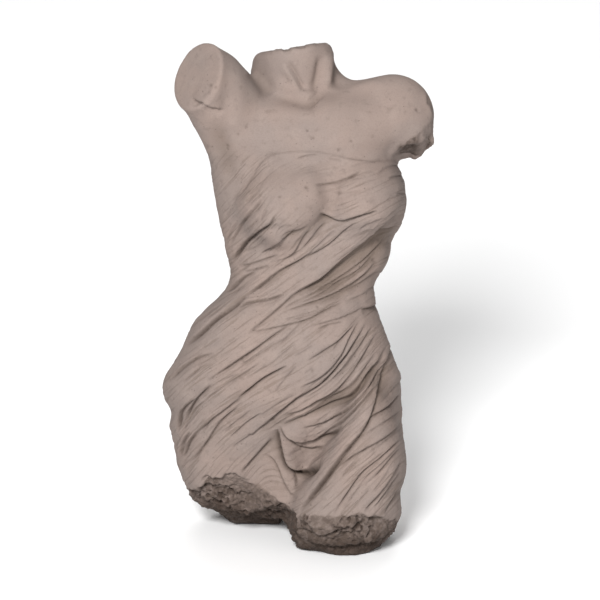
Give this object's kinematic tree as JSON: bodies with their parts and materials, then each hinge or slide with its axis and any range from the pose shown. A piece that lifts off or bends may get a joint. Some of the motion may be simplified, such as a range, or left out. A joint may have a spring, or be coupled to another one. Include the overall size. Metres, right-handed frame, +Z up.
{
  "type": "draped torso sculpture",
  "caption": "Broken draped torso in cast stone, head, forearms and lower legs lost, standing on the flat undersides of its thighs.",
  "frame": {"origin": "under the middle of the part's box, at the level of the undersides that it stands on", "axes": "+Z up, -Y the way the figure faces, +X towards the figure's left"},
  "size_m": [0.313, 0.2266, 0.6],
  "materials": {
    "cast_stone": "matt warm grey-brown cast stone with pinholes, rough and pebbly in the breaks"
  },
  "bodies": {
    "root": {"draped_torso": "cast_stone"}
  },
  "joints": []
}
